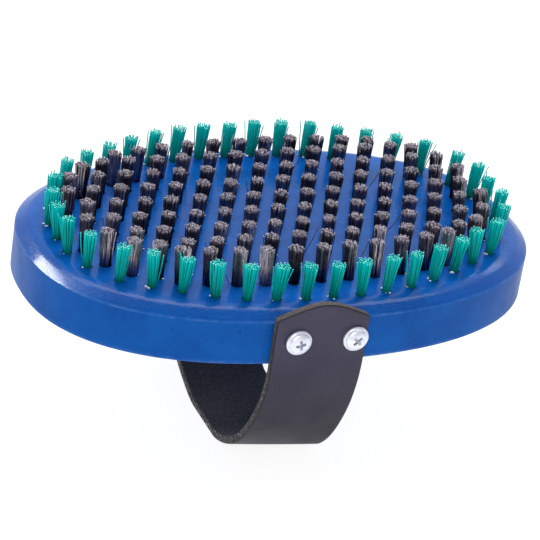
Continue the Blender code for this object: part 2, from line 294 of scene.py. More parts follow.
# The room that the ring's tufts and a wire tuft's own corner take, and a little more
ring_band = 0.0022
wire_foot = 0.0034
field_end_margin = 0.0006
field_side_margin = 0.0061
tuft_pitch_share = 0.13423
row_pitch_share = 0.24925
field_inset = ring_band + gap + wire_foot * math.sqrt(2) / 2
field_half_length = ring_half_length - field_inset - field_end_margin
field_half_width = ring_half_width - field_inset - field_side_margin
tuft_pitch = field_half_length * tuft_pitch_share
row_pitch = field_half_width * row_pitch_share


def field_row(row):
    """The tufts of a row, counted from the middle row outwards to either side."""
    count = row_tufts[abs(row)]
    places = []
    for index in range(count):
        place = Vector(((index - (count - 1) / 2) * tuft_pitch, row * row_pitch))
        reach = (abs(place.x) / field_half_length, abs(place.y) / field_half_width)
        excess = sum(share**field_power for share in reach) - 1
        if excess > 0:
            slope = Vector((
                reach[0] ** (field_power - 1) / field_half_length,
                reach[1] ** (field_power - 1) / field_half_width,
            ))
            step = slope * excess / (field_power * slope.length_squared)
            place -= Vector((math.copysign(step.x, place.x), math.copysign(step.y, place.y)))
        places.append(place)
    return places


last_row = len(row_tufts) - 1
field_rows = [field_row(row) for row in range(last_row, -last_row - 1, -1)]
print(sum(len(row) for row in field_rows), "wire tufts in", len(field_rows), "rows")

# %% [markdown]
# ## The block
#
# The real block is one board: sawn to an oval, its top edge planed to a slant, all edges
# softened, then dipped in blue lacquer and drilled. The model is made in that order. A
# circle is pulled to the oval and extruded up for the wall, then extruded and scaled in
# for the slant, and the bevel operator softens the three edges as sandpaper would. Thin
# extra rings beside the bevels keep the big flat faces from being shaded as if bent.

# %% Saw the oval
oval_points = 240


def signed_power(value, exponent):
    return math.copysign(abs(value) ** exponent, value)


def on_oval(turn, reach_x, reach_y, exponent):
    """The point of an oval at a turn from 0 to two pi."""
    x = reach_x * signed_power(math.cos(turn), 2 / exponent)
    y = reach_y * signed_power(math.sin(turn), 2 / exponent)
    return x, y


block_mesh = bmesh.new()
bmesh.ops.create_circle(block_mesh, cap_ends=True, segments=oval_points, radius=1)
for point in block_mesh.verts:
    turn = math.atan2(point.co.y, point.co.x)
    x, y = on_oval(turn, half_length, half_width, oval_power)
    point.co = (x, y, block_bottom)
print("the oval has", len(block_mesh.verts), "points")

# %% Raise the wall and slant its edge
edge_width = 0.0048
edge_height = 0.0034


def pull_up(mesh, face, rise, inset_from, inset_to):
    """Extrudes the top face upwards, drawn in evenly from one inset to the next."""
    pulled = bmesh.ops.extrude_face_region(mesh, geom=[face])["geom"]
    points = [part for part in pulled if isinstance(part, bmesh.types.BMVert)]
    narrower = (
        (half_length - inset_to) / (half_length - inset_from),
        (half_width - inset_to) / (half_width - inset_from),
        1,
    )
    bmesh.ops.scale(mesh, vec=narrower, verts=points)
    bmesh.ops.translate(mesh, vec=(0, 0, rise), verts=points)
    return next(part for part in pulled if isinstance(part, bmesh.types.BMFace))


block_mesh.faces.ensure_lookup_table()
wall_height = block_top - block_bottom - edge_height
cap = pull_up(block_mesh, block_mesh.faces[0], wall_height, 0, 0)
cap = pull_up(block_mesh, cap, edge_height, 0, edge_width)
print("the block's blank has", len(block_mesh.faces), "faces")

# %% Sand the edges
top_rounding = 0.0023
slant_rounding = 0.0008
bottom_rounding = 0.0007
# How far the extra rings lie from the bottom edge and from the slant
ring_above_bottom = 0.0009
ring_below_slant = 0.001


def edges_at(mesh, level):
    """The edges that lie flat at one height."""
    return [
        edge for edge in mesh.edges
        if all(abs(point.co.z - level) < gap / 10 for point in edge.verts)
    ]


def soften(mesh, edges, width, steps):
    """Rounds some edges and returns the faces of the rounding."""
    return bmesh.ops.bevel(
        mesh,
        geom=edges,
        offset=width,
        offset_type="OFFSET",
        affect="EDGES",
        segments=steps,
        profile=0.5,
        material=-1,
    )["faces"]


slant_bottom = block_top - edge_height
soften(block_mesh, edges_at(block_mesh, block_top), top_rounding, 6)
soften(block_mesh, edges_at(block_mesh, slant_bottom), slant_rounding, 4)
soften(block_mesh, edges_at(block_mesh, block_bottom), bottom_rounding, 3)
for level in (block_bottom + ring_above_bottom, slant_bottom - ring_below_slant):
    everything = block_mesh.verts[:] + block_mesh.edges[:] + block_mesh.faces[:]
    bmesh.ops.bisect_plane(
        block_mesh, geom=everything, plane_co=(0, 0, level), plane_no=(0, 0, 1)
    )
flat_faces = [face for face in block_mesh.faces if len(face.verts) == oval_points]
for face in flat_faces:
    bmesh.ops.inset_region(block_mesh, faces=[face], thickness=gap, use_even_offset=True)
print("softened, it has", len(block_mesh.faces))

# %% [markdown]
# ### The blue lacquer
#
# The lacquer is glossy and even, but looked at closely it varies a little: the blue is
# cloudy, the gloss is duller in patches, its skin ripples faintly, and there are tiny
# pits where dust settled. The slant was rubbed down by hand, so it is finely scratched.
# Each of these is one noise pattern. Paler bands are painted at the heights of two edges
# and broken up by a coarse noise: at the bottom edge as painted bounce light from the
# floor, and at the wall's top edge as a painted highlight line. The slant's blue is painted
# deeper, as painted shade. The top was polished and has a second, clearer coat, so one
# function mixes the lacquer for both and the coat is its option. Four more helpers come
# first: one mixes two colours, one does a sum, one tells the height, and one makes bumps.

# %% Colours, sums, heights and bumps
def mix_colours(tree, share, first, second, blend="MIX"):
    made = add_node(tree, "ShaderNodeMix", data_type="RGBA", blend_type=blend)
    for index, value in ((0, share), (6, first), (7, second)):
        if isinstance(value, bpy.types.NodeSocket):
            tree.links.new(value, made.inputs[index])
        elif isinstance(value, tuple):
            made.inputs[index].default_value = (*value, 1)
        else:
            made.inputs[index].default_value = value
    return made.outputs[2]


def add_math(tree, operation, first, second):
    made = add_node(tree, "ShaderNodeMath", {0: first, 1: second}, operation=operation)
    return made.outputs["Value"]


def level_share(tree, bottom, top):
    """Runs from 0 at one height of the piece to 1 at another."""
    place = add_node(tree, "ShaderNodeTexCoord").outputs["Object"]
    height = add_node(tree, "ShaderNodeSeparateXYZ", {"Vector": place}).outputs["Z"]
    inputs = {"Value": height, "From Min": bottom, "From Max": top}
    return add_node(tree, "ShaderNodeMapRange", inputs).outputs["Result"]


def add_bump(tree, height, distance, strength=1.0, under=None):
    inputs = {"Height": height, "Distance": distance, "Strength": strength}
    if under is not None:
        inputs["Normal"] = under
    return add_node(tree, "ShaderNodeBump", inputs).outputs["Normal"]


# %% Mix the lacquer
def blue_lacquer(name, glossiest, dullest, **plain):
    made, tree, shader = start_material(name, **plain)
    clouds = add_ramp(tree, add_noise(tree, 60, 7, roughness=0.72), [
        (0.32, (0.0, 0.064, 0.305)), (0.68, (0.002, 0.098, 0.412)),
    ])
    pits = add_ramp(tree, add_noise(tree, 900, 1), [(0.73, 0.0), (0.79, 1.0)])
    pitted = mix_colours(tree, pits, clouds, (0.002, 0.04, 0.19))
    wall_share = level_share(tree, block_bottom, block_top)
    # Painted light: paler bands at the bottom edge, as painted bounce light from the floor, and at
    # the wall's top edge, as a painted highlight line
    painted_edge_light_bands = add_ramp(tree, wall_share, [
        (0.0, 1.0), (0.035, 0.55), (0.09, 0.0), (0.795, 0.0), (0.822, 0.8), (0.85, 0.0),
    ])
    patchy = add_ramp(tree, add_noise(tree, 260, 3, (1, 1, 0.3)), [(0.4, 0.1), (0.65, 0.6)])
    patchy_painted_edge_light = add_math(tree, "MULTIPLY", painted_edge_light_bands, patchy)
    on_slant = add_ramp(tree, wall_share, [(0.83, 0.0), (0.86, 1.0), (0.96, 1.0), (0.99, 0.0)])
    # Painted shade: the slant's blue is made deeper
    painted_slant_shade = mix_colours(tree, on_slant, (1, 1, 1), (0.6, 0.84, 0.9))
    pitted = mix_colours(tree, 1.0, pitted, painted_slant_shade, "MULTIPLY")
    drive(tree, shader, "Base Color", mix_colours(tree, patchy_painted_edge_light, pitted, (0.09, 0.2, 0.52)))
    gloss = add_ramp(tree, add_noise(tree, 90, 4), [(0.3, glossiest), (0.75, dullest)])
    drive(tree, shader, "Roughness", gloss)
    ripple = add_bump(tree, add_noise(tree, 120, 2), 0.0006, 0.25)
    pitted_skin = add_bump(tree, pits, 0.0002, 0.5, ripple)
    rubbing = add_math(tree, "MULTIPLY", on_slant, add_noise(tree, 1100, 3))
    drive(tree, shader, "Normal", add_bump(tree, rubbing, 0.0003, 0.7, pitted_skin))
    print(name, "has", len(tree.nodes), "nodes")
    return made


top_lacquer = blue_lacquer(
    "top_lacquer", 0.2, 0.32, Specular_IOR_Level=0.06, Coat_Weight=0.26, Coat_Roughness=0.12
)
wall_lacquer = blue_lacquer("wall_lacquer", 0.32, 0.46, Specular_IOR_Level=0.09)
for face in block_mesh.faces:
    on_wall = face.calc_center_median().z < slant_bottom
    face.material_index = 1 if on_wall else 0
block = make_piece("block_body", block_mesh, [top_lacquer, wall_lacquer], sharp_angle=50)

# %% [markdown]
# ### The holes
#
# Each tuft sits in a hole of its own. All the drills are made as one mesh and cut away in
# one step, which is much quicker than a cut for each hole. The holes are shallow here,
# because the bristles hide what lies deeper. Two more helpers are needed: one cuts a
# shape away, and one hangs a piece on the root body and hides the solids it stands for.

# %% Cut away and settle
def cut_away(piece, cutter):
    """Cuts one closed shape out of another and keeps only the result."""
    modifier = piece.modifiers.new("cut", "BOOLEAN")
    modifier.operation = "DIFFERENCE"
    modifier.solver = "EXACT"
    modifier.object = cutter
    graph = bpy.context.evaluated_depsgraph_get()
    result = bpy.data.meshes.new_from_object(piece.evaluated_get(graph))
    result.set_sharp_from_angle(angle=math.radians(30))
    piece.modifiers.clear()
    piece.data = result
    bpy.data.objects.remove(cutter)


def settle(piece, slot, *solids):
    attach(piece, "root")
    if solids:
        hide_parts(*solids)
    print(piece.name, "has", len(piece.data.polygons), "faces and stands for", solids)


# %% Drill the holes
wire_hole_radius = 0.0021
nylon_hole_radius = 0.0018
hole_depth = 0.0018
# A hole is a little wider at its mouth than at its bottom
hole_bottom_share = 0.94
hole_mouth_share = 1.04

holes = bmesh.new()
all_holes = [(place, nylon_hole_radius) for place in ring_places]
all_holes += [(place, wire_hole_radius) for row in field_rows for place in row]
for place, radius in all_holes:
    bmesh.ops.create_cone(
        holes,
        cap_ends=True,
        segments=16,
        radius1=radius * hole_bottom_share,
        radius2=radius * hole_mouth_share,
        depth=hole_depth * 2,
        matrix=Matrix.Translation((place.x, place.y, block_top)),
    )
cut_away(block, make_piece("drill", holes, [top_lacquer]))
settle(block, "block", "brush_block")

# %% [markdown]
# ## The wire tufts
#
# Each tuft is a bundle of stiff dark wires, folded in half, stapled into its hole and cut
# level. Seen closely it isn't a neat brush: the wires cling together in small locks that
# lean a little different ways, and their cut ends catch the light. A few tufts are made
# lock by lock, wire by wire, and the rows are then filled with turned copies of them, so
# that no two neighbours look alike and the script stays quick.

# %% One bristle
def add_bristle(mesh, foot, tip, radius, sides, bow):
    """A thin rod from foot to tip, bowed sideways by a little in its middle. Its cut end
    gets the second material."""
    height = tip.z - foot.z
    lean = Matrix.Identity(4)
    lean[0][2] = (tip.x - foot.x) / height
    lean[1][2] = (tip.y - foot.y) / height
    made = bmesh.ops.create_cone(
        mesh,
        cap_ends=True,
        segments=sides,
        radius1=radius,
        radius2=radius,
        depth=height,
        matrix=Matrix.Translation((foot + tip) / 2) @ lean,
    )
    for face in {face for point in made["verts"] for face in point.link_faces}:
        if all(point.co.z > foot.z + height / 2 for point in face.verts):
            face.material_index = 1
    upright = {
        edge for point in made["verts"] for edge in point.link_edges
        if abs(edge.verts[0].co.z - edge.verts[1].co.z) > height / 2
    }
    split = bmesh.ops.subdivide_edges(mesh, edges=list(upright), cuts=2, use_grid_fill=True)
    middle = [part for part in split["geom_inner"] if isinstance(part, bmesh.types.BMVert)]
    bmesh.ops.translate(mesh, vec=bow, verts=middle)


# %% The sizes of a wire tuft
golden_turn = math.pi * (3 - math.sqrt(5))
tuft_root = 0.001
wire_radius = 0.00015
wire_sides = 3
wire_locks = 30
wires_in_lock = 4
wire_foot_radius = 0.00185
wire_spread = 0.0006
wire_dome = 0.0006
# How far locks and wires stray sideways, and how much too low they end
lock_lean = 0.00035
lock_sinks = (0.00005, 0.0004)
wire_scatter = 0.0002
wire_sink = 0.0004
wire_bow = 0.00014
wire_pinch = 0.0001
# Some tufts have one wire that came loose
loose_wires = (0, 0, 1)
loose_lean = 0.0035
loose_heights = (0.008, 0.0115)
loose_bow = 0.0006
print("a wire tuft has", wire_locks * wires_in_lock, "wires")


# %% Some wire tufts
def scatter(chance, most):
    """A small random step sideways."""
    return Vector((chance.uniform(-most, most), chance.uniform(-most, most), 0))


def spread_out(index, count):
    """One of many places that fill a disc evenly, as the seeds of a sunflower do."""
    turn = index * golden_turn
    return Vector((math.cos(turn), math.sin(turn), 0)) * math.sqrt((index + 0.5) / count)


def kept(tuft, name):
    """Turns a bmesh into a mesh that is there to be copied."""
    made = bpy.data.meshes.new(name)
    tuft.to_mesh(made)
    tuft.free()
    return made


def wire_tuft(seed):
    chance = random.Random(seed)
    tuft = bmesh.new()
    for lock in range(wire_locks):
        out = spread_out(lock, wire_locks)
        lean = out * wire_spread + scatter(chance, lock_lean)
        lock_height = tip_level - block_top - wire_dome * out.length_squared
        lock_height -= chance.uniform(*lock_sinks)
        for _ in range(wires_in_lock):
            foot = out * wire_foot_radius + scatter(chance, wire_scatter)
            tip = foot + lean + scatter(chance, wire_scatter)
            foot.z = -tuft_root
            tip.z = lock_height - chance.uniform(0, wire_sink)
            bow = scatter(chance, wire_bow) - out * wire_pinch
            add_bristle(tuft, foot, tip, wire_radius, wire_sides, bow)
    for _ in range(chance.choice(loose_wires)):
        foot = scatter(chance, wire_foot_radius)
        tip = foot + scatter(chance, loose_lean)
        foot.z, tip.z = -tuft_root, chance.uniform(*loose_heights)
        add_bristle(tuft, foot, tip, wire_radius, wire_sides, scatter(chance, loose_bow))
    return kept(tuft, "wire_tuft")


wire_tufts = [wire_tuft(seed) for seed in range(8)]
print(len(wire_tufts), "wire tufts of", len(wire_tufts[0].polygons), "faces")

# %% [markdown]
# ### The wires' finish
#
# The wires are bare steel, a little brown. Metal shows what it mirrors: the inner tufts
# mirror only each other and the block, so they look black, while the front ones mirror
# the bright floor and look grey. One ramp follows the height and paints the wires dark
# navy low down, as painted shade between the tufts and a painted reflection of the blue
# block, and paler towards their tips, as painted light from above. The cut ends are bare,
# so those have a finish of their own. A noise that is stretched along the wires gives each
# of them its own tone. The finish of the ends is simpler, one noise for everything, and so
# is that of some later pieces.

# %% Make the steel
steel, tree, shader = start_material("steel_wire")
height_share = level_share(tree, block_top, tip_level)
# Painted shade and light: dark navy low down for shade between the tufts and the mirrored blue
# block, paler near the tips for light from above
steel_with_painted_shade = add_ramp(tree, height_share, [
    (0.0, (0.09, 0.12, 0.24)), (0.3, (0.22, 0.22, 0.34)), (0.48, (0.46, 0.42, 0.45)),
    (0.85, (0.54, 0.48, 0.52)), (0.91, (0.6, 0.54, 0.59)), (0.97, (0.75, 0.69, 0.76)),
])
each_wire = add_noise(tree, 1, 1, (2600, 2600, 90))
own_tone = add_ramp(tree, each_wire, [(0.34, (0.24, 0.24, 0.33)), (0.66, (1.0, 0.97, 0.98))])
drive(tree, shader, "Base Color", mix_colours(tree, 1.0, steel_with_painted_shade, own_tone, "MULTIPLY"))
drive(tree, shader, "Metallic", add_ramp(tree, height_share, [(0.84, 1.0), (0.95, 0.3)]))
drive(tree, shader, "Roughness", add_ramp(tree, each_wire, [(0.3, 0.38), (0.7, 0.22)]))
drawn = add_noise(tree, 1, 2, (9000, 9000, 400))
drive(tree, shader, "Normal", add_bump(tree, drawn, 0.00004, 0.4))
print("the wires' steel has", len(tree.nodes), "nodes")


# %% Make their cut ends
def one_pattern(name, scale, detail, tones, roughness, depth, strength, **plain):
    """A material whose colour, gloss and bumps all follow the same noise."""
    made, tree, shader = start_material(name, **plain)
    grain = add_noise(tree, scale, detail)
    drive(tree, shader, "Base Color", add_ramp(tree, grain, tones))
    drive(tree, shader, "Roughness", add_ramp(tree, grain, roughness))
    drive(tree, shader, "Normal", add_bump(tree, grain, depth, strength))
    print(name, "has", len(tree.nodes), "nodes")
    return made


cut_steel = one_pattern(
    "cut_wire_ends", 4000, 2, [(0.35, (0.4, 0.36, 0.41)), (0.6, (0.85, 0.8, 0.87))],
    [(0.3, 0.5), (0.7, 0.3)], 0.00005, 0.5, Metallic=0.4,
)

# %% Fill the rows
row_scatter = 0.022
# The outer tufts lean back a little, from this share of the way to the field's edge
lean_from = 0.5
backward_lean = 0.14
sideways_lean = -0.03
end_share = 0.95


def plant(mesh, tuft, place, turn, lean):
    """Adds a copy of a tuft to a bmesh, turned, leaned and moved to its hole."""
    before = len(mesh.verts)
    mesh.from_mesh(tuft)
    mesh.verts.ensure_lookup_table()
    shear = Matrix.Identity(4)
    shear[0][2], shear[1][2] = lean.x, lean.y
    home = Matrix.Translation((place.x, place.y, block_top))
    step = home @ shear @ Matrix.Rotation(turn, 4, "Z")
    bmesh.ops.transform(mesh, matrix=step, verts=mesh.verts[before:])


def inward_lean(place):
    """The lean that lets the outer tufts' wires mirror the bright floor."""
    reach = max(-place.y / field_half_width, end_share * abs(place.x) / field_half_length)
    share = min(max(0, reach - lean_from) / (1 - lean_from), 1)
    return Vector((sideways_lean * place.x / field_half_length, backward_lean, 0)) * share


chance = random.Random(21)
for number, row in enumerate(field_rows, start=1):
    row_mesh = bmesh.new()
    for place in row:
        tuft = chance.choice(wire_tufts)
        lean = scatter(chance, row_scatter) + inward_lean(place)
        plant(row_mesh, tuft, place, chance.uniform(0, 2 * math.pi), lean)
    row_piece = make_piece(f"wire_tufts_{number}", row_mesh, [steel, cut_steel])
    settle(row_piece, "wire", f"wire_row_{number}")

# %% [markdown]
# ## The nylon tufts
#
# The ring's tufts are fewer and softer: some forty round green filaments of about
# 0.4 mm. They leave the hole close together and fan out, so that the tuft is wider at
# its tips than at its foot. A few filaments stand apart from their tuft or were cut short.

# %% The sizes of a nylon tuft
nylon_radius = 0.0002
nylon_sides = 5
nylon_count = 42
nylon_foot_radius = 0.00135
nylon_fan = 0.0011
# How far the filaments stray sideways, and how much too low they end
nylon_foot_scatter = 0.00008
nylon_tip_scatter = 0.00025
nylon_sink = 0.0009
nylon_bellies = (-0.0001, 0.0002)
nylon_bow = 0.00012
# The outermost filaments stand apart
nylon_strays = 2
stray_fan = 0.0012
print("a nylon tuft is", round(2000 * (nylon_foot_radius + nylon_fan), 1), "mm wide at its tips")


# %% Some nylon tufts
def nylon_tuft(seed):
    chance = random.Random(100 + seed)
    tuft = bmesh.new()
    for index in range(nylon_count):
        out = spread_out(index, nylon_count)
        foot = out * nylon_foot_radius + scatter(chance, nylon_foot_scatter)
        tip = foot + out * nylon_fan + scatter(chance, nylon_tip_scatter)
        if index >= nylon_count - nylon_strays:
            tip += out * chance.uniform(0, stray_fan)
        foot.z = -tuft_root
        tip.z = tip_level - block_top - chance.uniform(0, nylon_sink)
        bow = out * chance.uniform(*nylon_bellies) + scatter(chance, nylon_bow)
        add_bristle(tuft, foot, tip, nylon_radius, nylon_sides, bow)
    return kept(tuft, "nylon_tuft")


nylon_tufts = [nylon_tuft(seed) for seed in range(8)]
print(len(nylon_tufts), "nylon tufts of", len(nylon_tufts[0].polygons), "faces")

# %% [markdown]
# ### The green nylon
#
# Nylon filament is slightly see-through, and the light in a tuft is painted into its
# colour: pale green-blue at the free tips, as painted light, and deeper green down where
# the filaments crowd together, as painted shade. Again one ramp follows the height and a
# stretched noise sets the filaments apart. The cut ends are painted pale, as a painted
# glow where the most light leaves them, and have a finish of their own.

# %% Make the nylon
nylon, tree, shader = start_material(
    "green_nylon", Specular_IOR_Level=0.09, Subsurface_Weight=0.15, Subsurface_Scale=1.0
)
shader.inputs["Subsurface Radius"].default_value = (0.0004, 0.0012, 0.001)
height_share = level_share(tree, block_top, tip_level)
# Painted light and shade: pale towards the tips, deeper green low down where the filaments crowd
green_with_painted_glow = add_ramp(tree, height_share, [
    (0.0, (0.0, 0.18, 0.16)), (0.3, (0.0, 0.4, 0.37)), (0.75, (0.0, 0.54, 0.54)),
    (0.95, (0.0, 0.65, 0.63)),
])
each_filament = add_noise(tree, 1, 1, (1500, 1500, 70))
own_tone = add_ramp(tree, each_filament, [(0.3, (0.6, 0.72, 0.68)), (0.7, (1.0, 1.0, 1.0))])
drive(tree, shader, "Base Color", mix_colours(tree, 1.0, green_with_painted_glow, own_tone, "MULTIPLY"))
drive(tree, shader, "Roughness", add_ramp(tree, each_filament, [(0.3, 0.42), (0.7, 0.28)]))
streaks = add_noise(tree, 1, 2, (5000, 5000, 500))
drive(tree, shader, "Normal", add_bump(tree, streaks, 0.00003, 0.4))

# Painted glow: the cut ends are coloured pale for the light that leaves them
cut_nylon = one_pattern(
    "cut_nylon_ends", 3000, 2, [(0.35, (0.05, 0.6, 0.52)), (0.65, (0.4, 0.95, 0.9))],
    [(0.3, 0.5), (0.7, 0.35)], 0.00005, 0.4, Specular_IOR_Level=0.3,
)

# %% Fill the ring
ring_scatter = 0.05
outward_lean = 0.4
back_lean = Vector((0.07, 0.02, 0))
arcs = 8
per_arc = len(ring_places) // arcs

chance = random.Random(5)
for number in range(1, arcs + 1):
    arc_mesh = bmesh.new()
    for place in ring_places[(number - 1) * per_arc:number * per_arc]:
        tuft = chance.choice(nylon_tufts)
        lean = scatter(chance, ring_scatter) + Vector((place.x, place.y, 0)) * outward_lean
        if place.y > 0:
            lean += back_lean
        plant(arc_mesh, tuft, place, chance.uniform(0, 2 * math.pi), lean)
    arc_piece = make_piece(f"nylon_tufts_{number}", arc_mesh, [nylon, cut_nylon])
    settle(arc_piece, "nylon", f"nylon_arc_{number}")

# %% [markdown]
# ## Burrs round the holes
#
# The drill went through the finished lacquer, so small pale chips still cling to some of
# the holes, mostly on the side where the drill came out last. Each is a tiny irregular
# crumb. They are placed with a fixed seed, so that every run of the script is the same.

# %% Scatter the burrs
chip_paint, tree, shader = start_material("pale_chips", Roughness=0.5)
chip_tones = add_ramp(tree, add_noise(tree, 2500, 2), [
    (0.35, (0.35, 0.5, 0.8)), (0.6, (0.9, 0.94, 1.0)),
])
drive(tree, shader, "Base Color", chip_tones)
drive(tree, shader, "Normal", add_bump(tree, add_noise(tree, 6000, 2), 0.00005, 0.6))

# How many chips a hole may have, their side of it in degrees with its spread, and sizes
nylon_chips = ((0, 1, 1, 2, 3), (200, 45), (0.0002, 0.00055))
wire_chips = ((0, 0, 1, 1), (-15, 50), (0.00015, 0.0003))
chip_reach = 1.06
chip_widest, chip_flatness, chip_turn = 2, 0.6, 0.8

chance = random.Random(9)
chips = bmesh.new()
for place, radius in all_holes:
    counts, side, sizes = nylon_chips if radius == nylon_hole_radius else wire_chips
    for _ in range(chance.choice(counts)):
        turn = math.radians(chance.gauss(*side))
        size = chance.uniform(*sizes)
        reach = radius * chip_reach
        home = Matrix.Translation((
            place.x + reach * math.cos(turn), place.y + reach * math.sin(turn), block_top + size / 3
        ))
        shape = (size * chance.uniform(0.8, chip_widest), size, size * chip_flatness, 1)
        facing = Matrix.Rotation(turn + chance.uniform(-chip_turn, chip_turn), 4, "Z")
        shaped = home @ facing @ Matrix.Diagonal(shape)
        bmesh.ops.create_icosphere(chips, subdivisions=1, radius=1, matrix=shaped)
settle(make_piece("hole_chips", chips, [chip_paint], sharp_angle=20), "block")

# %% [markdown]
# ## The strap
#
# The strap is one band of leather about 3 mm thick, screwed to the front wall, hanging
# down in a loop for the hand and screwed to the back wall. It starts as a flat grid whose
# points are then laid on the measured route, which is given along the left and the right
# edge of the band because the loop is slightly twisted. The solidify operator gives it
# its thickness, and a small bevel takes the sharpness off the cut edges.

# %% The measures of the band
strap_width = 0.033
strap_thickness = 0.0029
strap_offset = -0.0078
strap_front_rise = 0.0042
strap_back_fall = 0.0032
strap_end_fall = 0.0054
strap_tip_radius = 0.0085
# From the front wall round the loop to the back wall: how far out as a share of the way
# to the wall, and how high as a share of the way up to the block
left_shares = (
    (-1.0, 1.0), (-0.996, 0.884), (-0.98, 0.774), (-0.954, 0.668),
    (-0.92, 0.566), (-0.88, 0.464), (-0.831, 0.363), (-0.771, 0.263),
    (-0.699, 0.171), (-0.615, 0.094), (-0.52, 0.035), (-0.43, 0.003),
    (-0.332, 0.0), (-0.234, 0.0), (-0.105, 0.0), (-0.03, 0.014), (0.055, 0.049),
    (0.15, 0.099), (0.251, 0.163), (0.372, 0.25), (0.509, 0.354),
    (0.655, 0.477), (0.792, 0.613), (0.897, 0.747), (0.975, 0.89), (1.0, 1.0),
)
right_shares = (
    (-1.0, 1.0), (-0.992, 0.884), (-0.975, 0.77), (-0.951, 0.656),
    (-0.916, 0.538), (-0.871, 0.415), (-0.817, 0.293), (-0.754, 0.181),
    (-0.679, 0.084), (-0.596, 0.022), (-0.509, 0.0), (-0.374, 0.0),
    (-0.215, 0.0), (-0.043, 0.0), (0.127, 0.0), (0.204, 0.018), (0.281, 0.075),
    (0.366, 0.157), (0.461, 0.257), (0.566, 0.369), (0.677, 0.491),
    (0.785, 0.619), (0.878, 0.743), (0.943, 0.853), (0.984, 0.937), (1.0, 1.0),
)
print("the band's route is given by", len(left_shares), "pairs of points")


# %% The route of the band
def smooth_route(points, steps):
    """Points on a smooth curve through the given ones."""
    ends = [points[0]] + points + [points[-1]]
    route = []
    for a, b, c, d in zip(ends, ends[1:], ends[2:], ends[3:]):
        for step in range(steps):
            t = step / steps
            bend = (2 * a - 5 * b + 4 * c - d) * t**2 + (3 * b - a - 3 * c + d) * t**3
            route.append(b + ((c - a) * t + bend) / 2)
    return route + [points[-1]]


def even_points(route, count):
    """As many points as asked for, equally far apart along the route."""
    lengths = [0]
    for a, b in zip(route, route[1:]):
        lengths.append(lengths[-1] + (b - a).length)
    spaced, index = [], 0
    for number in range(count):
        want = lengths[-1] * number / (count - 1)
        while index < len(route) - 2 and lengths[index + 1] < want:
            index += 1
        share = (want - lengths[index]) / (lengths[index + 1] - lengths[index])
        spaced.append(route[index].lerp(route[index + 1], min(share, 1)))
    return spaced


def wall_reach(x):
    """How far the block's side wall lies from the X axis at x."""
    share = abs(x) / half_length
    return half_width * (1 - share**oval_power) ** (1 / oval_power)


def end_fall(across):
    """How far an end of the band falls back from its tip, this far from the middle line:
    two nearly straight cuts with a round tip between them."""
    at_corner = math.hypot(strap_width / 2, strap_tip_radius) - strap_tip_radius
    return strap_end_fall * (math.hypot(across, strap_tip_radius) - strap_tip_radius) / at_corner


def column_route(share, count):
    """The outer face of the band from the front end to the back end, at one share of
    its width: Y and Z of each point."""
    across = (2 * share - 1) * strap_width / 2
    reach = wall_reach(strap_offset + across) + gap + strap_thickness
    points = [Vector(a).lerp(Vector(b), share) for a, b in zip(left_shares, right_shares)]
    points = [Vector((point.x * reach, point.y * block_bottom)) for point in points]
    route = [Vector((-reach, block_top + strap_front_rise - end_fall(across)))]
    route += [Vector((place.x, max(place.y, 0))) for place in smooth_route(points, 6)]
    route.append(Vector((reach, block_top - strap_back_fall - end_fall(across))))
    return even_points(route, count)


middle = column_route(0.5, 99)
band_length = sum((b - a).length for a, b in zip(middle, middle[1:]))
print("the band is", round(band_length, 3), "m long")

# %% Lay the grid on the route
strap_columns = 24
strap_stations = 150
front_screws_down = 0.0093
back_screws_down = 0.0115
screw_offset_share = 0.0605
screw_spacing_share = 0.615
# The screws press shallow dimples into the leather
dimple_depth = 0.00025
dimple_radius = 0.0062

screw_levels = {-1: block_top - front_screws_down, 1: block_top - back_screws_down}
screw_places = [
    strap_offset + strap_width * (screw_offset_share + side * screw_spacing_share / 2)
    for side in (-1, 1)
]
strap_mesh = bmesh.new()
bmesh.ops.create_grid(strap_mesh, x_segments=strap_columns, y_segments=strap_stations, size=1)
columns = [
    column_route(column / strap_columns, strap_stations + 1)
    for column in range(strap_columns + 1)
]
for point in strap_mesh.verts:
    share = (point.co.x + 1) / 2
    place = columns[round(share * strap_columns)][round((point.co.y + 1) / 2 * strap_stations)]
    point.co = (strap_offset + (share - 0.5) * strap_width, place.x, place.y)
for point in strap_mesh.verts:
    for x in screw_places:
        level = screw_levels[-1 if point.co.y < 0 else 1]
        away = math.hypot(point.co.x - x, point.co.z - level)
        if point.co.z > block_bottom:
            press = dimple_depth * math.exp(-((away / dimple_radius) ** 4))
            point.co.y -= math.copysign(press, point.co.y)
bmesh.ops.recalc_face_normals(strap_mesh, faces=strap_mesh.faces)
print("grid laid with", len(strap_mesh.verts), "points")

# %% Give the leather its thickness and dress its edges
corner_rounding = 0.0004
corner_angle = math.radians(50)
grain_side, flesh_side, cut_side, burnished = 0, 1, 2, 3

outer_faces = set(strap_mesh.faces)
bmesh.ops.solidify(strap_mesh, geom=strap_mesh.faces[:], thickness=strap_thickness)
strap_mesh.normal_update()
for face in strap_mesh.faces:
    at_end = face.normal.z > 0.5 and face.calc_center_median().z > screw_levels[-1]
    if abs(face.normal.x) > 0.7 or at_end:
        face.material_index = cut_side
    else:
        face.material_index = grain_side if face in outer_faces else flesh_side
corners = [
    edge for edge in strap_mesh.edges
    if len(edge.link_faces) == 2 and edge.calc_face_angle() > corner_angle
]
rounding = set(soften(strap_mesh, corners, corner_rounding, 2))


def touching(faces, wanted):
    """The faces that share an edge with a face of the wanted kind."""
    return {
        face for face in faces
        if any(wanted(other) for edge in face.edges for other in edge.link_faces)
    }


beside_grain = touching(
    rounding, lambda other: other not in rounding and other.material_index == grain_side
)
for face in beside_grain | touching(rounding, lambda other: other in beside_grain):
    face.material_index = burnished
print("the strap has", len(strap_mesh.faces), "faces and", len(corners), "softened edges")
